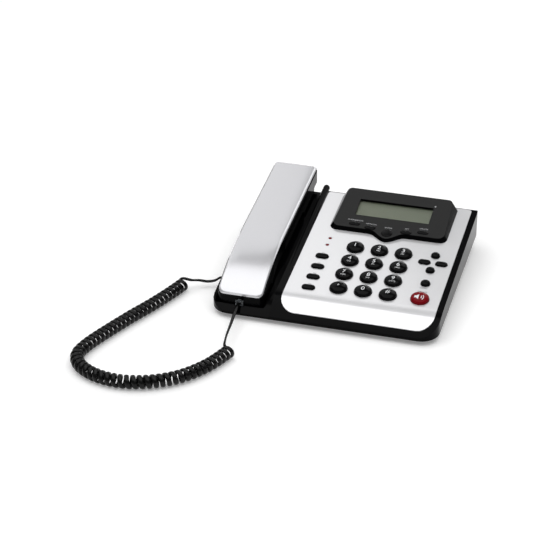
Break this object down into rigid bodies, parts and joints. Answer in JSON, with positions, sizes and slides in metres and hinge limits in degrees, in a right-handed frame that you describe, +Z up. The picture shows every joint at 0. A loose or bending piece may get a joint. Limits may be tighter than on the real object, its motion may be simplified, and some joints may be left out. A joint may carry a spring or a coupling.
{
  "type": "caller id desk telephone",
  "caption": "Low wedge desk telephone with a caller display hood, domed dial keys and a lift-off handset on a curly cord.",
  "frame": {"origin": "bottom centre of the base with the handset in its cradle, on the desk", "axes": "+X across the base to its right, +Y from its front to its back, +Z up"},
  "size_m": [0.305, 0.3463, 0.059],
  "materials": {
    "black_gloss": "glossy",
    "silver_plastic": "satin",
    "dark_grey": "satin",
    "clear_window": "clear",
    "display_green": "satin",
    "board": "matte",
    "grey_rubber": "matte",
    "black_rubber": "matte",
    "lamp_red": "glossy",
    "key_red": "glossy",
    "key_black": "glossy",
    "screw_steel": "plain",
    "bare_aluminium": "plain",
    "clear_plug": "clear",
    "cord_black": "glossy"
  },
  "bodies": {
    "base": {"upper_housing": "black_gloss", "lower_housing": "black_gloss", "face_panel": "silver_plastic", "display_hood": "dark_grey", "display_lens": "clear_window", "lcd_module": "display_green", "display_board": "board", "main_board": "board", "keypad_mat": "grey_rubber", "status_lamps": "lamp_red", "loudspeaker": "dark_grey", "line_jack": "dark_grey", "cord_jack": "dark_grey", "hook_switch": "dark_grey", "rubber_feet": "black_rubber", "case_screws": "screw_steel", "board_screws": "screw_steel", "base_plug": "clear_plug", "base_lead": "cord_black", "cord_coil": "cord_black", "handset_lead": "cord_black"},
    "hook": {"hook_plunger": "black_gloss"},
    "handset": {"handset_cover": "silver_plastic", "handset_shell": "black_gloss", "receiver_capsule": "dark_grey", "microphone_capsule": "bare_aluminium", "handset_weight": "screw_steel", "handset_jack": "dark_grey", "handset_screws": "screw_steel", "handset_plug": "clear_plug"},
    "key_1": {"key_1": "key_black"},
    "key_2": {"key_2": "key_black"},
    "key_3": {"key_3": "key_black"},
    "key_4": {"key_4": "key_black"},
    "key_5": {"key_5": "key_black"},
    "key_6": {"key_6": "key_black"},
    "key_7": {"key_7": "key_black"},
    "key_8": {"key_8": "key_black"},
    "key_9": {"key_9": "key_black"},
    "key_star": {"key_star": "key_black"},
    "key_0": {"key_0": "key_black"},
    "key_hash": {"key_hash": "key_black"},
    "memory_key_1": {"memory_key_1": "key_black"},
    "memory_key_2": {"memory_key_2": "key_black"},
    "memory_key_3": {"memory_key_3": "key_black"},
    "memory_key_4": {"memory_key_4": "key_black"},
    "cursor_up": {"cursor_up": "key_black"},
    "cursor_down": {"cursor_down": "key_black"},
    "cursor_left": {"cursor_left": "key_black"},
    "cursor_right": {"cursor_right": "key_black"},
    "redial_key": {"redial_key": "key_black"},
    "speaker_key": {"speaker_key": "key_red"},
    "soft_key_1": {"soft_key_1": "key_black"},
    "soft_key_2": {"soft_key_2": "key_black"},
    "soft_key_3": {"soft_key_3": "key_black"},
    "soft_key_4": {"soft_key_4": "key_black"},
    "soft_key_5": {"soft_key_5": "key_black"}
  },
  "joints": [
    {"name": "handset_lift", "type": "slide", "parent": "base", "child": "handset", "axis": [0, 0, 1], "range_m": [0, 0.06], "deforming": ["handset_lead"]},
    {"name": "hook_rise", "type": "slide", "parent": "base", "child": "hook", "axis": [0, 0, 1], "range_m": [0, 0.004]},
    {"name": "key_1_press", "type": "slide", "parent": "base", "child": "key_1", "axis": [0, -0.1132, 0.9936], "range_m": [-0.0015, 0], "stiffness_N_per_m": 400, "springref_m": 0.001},
    {"name": "key_2_press", "type": "slide", "parent": "base", "child": "key_2", "axis": [0, -0.1132, 0.9936], "range_m": [-0.0015, 0], "stiffness_N_per_m": 400, "springref_m": 0.001},
    {"name": "key_3_press", "type": "slide", "parent": "base", "child": "key_3", "axis": [0, -0.1132, 0.9936], "range_m": [-0.0015, 0], "stiffness_N_per_m": 400, "springref_m": 0.001},
    {"name": "key_4_press", "type": "slide", "parent": "base", "child": "key_4", "axis": [0, -0.1132, 0.9936], "range_m": [-0.0015, 0], "stiffness_N_per_m": 400, "springref_m": 0.001},
    {"name": "key_5_press", "type": "slide", "parent": "base", "child": "key_5", "axis": [0, -0.1132, 0.9936], "range_m": [-0.0015, 0], "stiffness_N_per_m": 400, "springref_m": 0.001},
    {"name": "key_6_press", "type": "slide", "parent": "base", "child": "key_6", "axis": [0, -0.1132, 0.9936], "range_m": [-0.0015, 0], "stiffness_N_per_m": 400, "springref_m": 0.001},
    {"name": "key_7_press", "type": "slide", "parent": "base", "child": "key_7", "axis": [0, -0.1132, 0.9936], "range_m": [-0.0015, 0], "stiffness_N_per_m": 400, "springref_m": 0.001},
    {"name": "key_8_press", "type": "slide", "parent": "base", "child": "key_8", "axis": [0, -0.1132, 0.9936], "range_m": [-0.0015, 0], "stiffness_N_per_m": 400, "springref_m": 0.001},
    {"name": "key_9_press", "type": "slide", "parent": "base", "child": "key_9", "axis": [0, -0.1132, 0.9936], "range_m": [-0.0015, 0], "stiffness_N_per_m": 400, "springref_m": 0.001},
    {"name": "key_star_press", "type": "slide", "parent": "base", "child": "key_star", "axis": [0, -0.1132, 0.9936], "range_m": [-0.0015, 0], "stiffness_N_per_m": 400, "springref_m": 0.001},
    {"name": "key_0_press", "type": "slide", "parent": "base", "child": "key_0", "axis": [0, -0.1132, 0.9936], "range_m": [-0.0015, 0], "stiffness_N_per_m": 400, "springref_m": 0.001},
    {"name": "key_hash_press", "type": "slide", "parent": "base", "child": "key_hash", "axis": [0, -0.1132, 0.9936], "range_m": [-0.0015, 0], "stiffness_N_per_m": 400, "springref_m": 0.001},
    {"name": "memory_key_1_press", "type": "slide", "parent": "base", "child": "memory_key_1", "axis": [0, -0.1132, 0.9936], "range_m": [-0.0015, 0], "stiffness_N_per_m": 400, "springref_m": 0.001},
    {"name": "memory_key_2_press", "type": "slide", "parent": "base", "child": "memory_key_2", "axis": [0, -0.1132, 0.9936], "range_m": [-0.0015, 0], "stiffness_N_per_m": 400, "springref_m": 0.001},
    {"name": "memory_key_3_press", "type": "slide", "parent": "base", "child": "memory_key_3", "axis": [0, -0.1132, 0.9936], "range_m": [-0.0015, 0], "stiffness_N_per_m": 400, "springref_m": 0.001},
    {"name": "memory_key_4_press", "type": "slide", "parent": "base", "child": "memory_key_4", "axis": [0, -0.1132, 0.9936], "range_m": [-0.0015, 0], "stiffness_N_per_m": 400, "springref_m": 0.001},
    {"name": "cursor_up_press", "type": "slide", "parent": "base", "child": "cursor_up", "axis": [0, -0.1132, 0.9936], "range_m": [-0.0015, 0], "stiffness_N_per_m": 400, "springref_m": 0.001},
    {"name": "cursor_down_press", "type": "slide", "parent": "base", "child": "cursor_down", "axis": [0, -0.1132, 0.9936], "range_m": [-0.0015, 0], "stiffness_N_per_m": 400, "springref_m": 0.001},
    {"name": "cursor_left_press", "type": "slide", "parent": "base", "child": "cursor_left", "axis": [0, -0.1132, 0.9936], "range_m": [-0.0015, 0], "stiffness_N_per_m": 400, "springref_m": 0.001},
    {"name": "cursor_right_press", "type": "slide", "parent": "base", "child": "cursor_right", "axis": [0, -0.1132, 0.9936], "range_m": [-0.0015, 0], "stiffness_N_per_m": 400, "springref_m": 0.001},
    {"name": "redial_key_press", "type": "slide", "parent": "base", "child": "redial_key", "axis": [0, -0.1132, 0.9936], "range_m": [-0.0015, 0], "stiffness_N_per_m": 400, "springref_m": 0.001},
    {"name": "speaker_key_press", "type": "slide", "parent": "base", "child": "speaker_key", "axis": [0, -0.1132, 0.9936], "range_m": [-0.0015, 0], "stiffness_N_per_m": 400, "springref_m": 0.001},
    {"name": "soft_key_1_press", "type": "slide", "parent": "base", "child": "soft_key_1", "axis": [0, -0.1942, 0.981], "range_m": [-0.0008, 0], "stiffness_N_per_m": 400, "springref_m": 0.001},
    {"name": "soft_key_2_press", "type": "slide", "parent": "base", "child": "soft_key_2", "axis": [0, -0.1942, 0.981], "range_m": [-0.0008, 0], "stiffness_N_per_m": 400, "springref_m": 0.001},
    {"name": "soft_key_3_press", "type": "slide", "parent": "base", "child": "soft_key_3", "axis": [0, -0.1942, 0.981], "range_m": [-0.0008, 0], "stiffness_N_per_m": 400, "springref_m": 0.001},
    {"name": "soft_key_4_press", "type": "slide", "parent": "base", "child": "soft_key_4", "axis": [0, -0.1942, 0.981], "range_m": [-0.0008, 0], "stiffness_N_per_m": 400, "springref_m": 0.001},
    {"name": "soft_key_5_press", "type": "slide", "parent": "base", "child": "soft_key_5", "axis": [0, -0.1942, 0.981], "range_m": [-0.0008, 0], "stiffness_N_per_m": 400, "springref_m": 0.001}
  ],
  "couplings": [
    {"joint": "hook_rise", "follows": "handset_lift", "ratio": 0.0666}
  ]
}
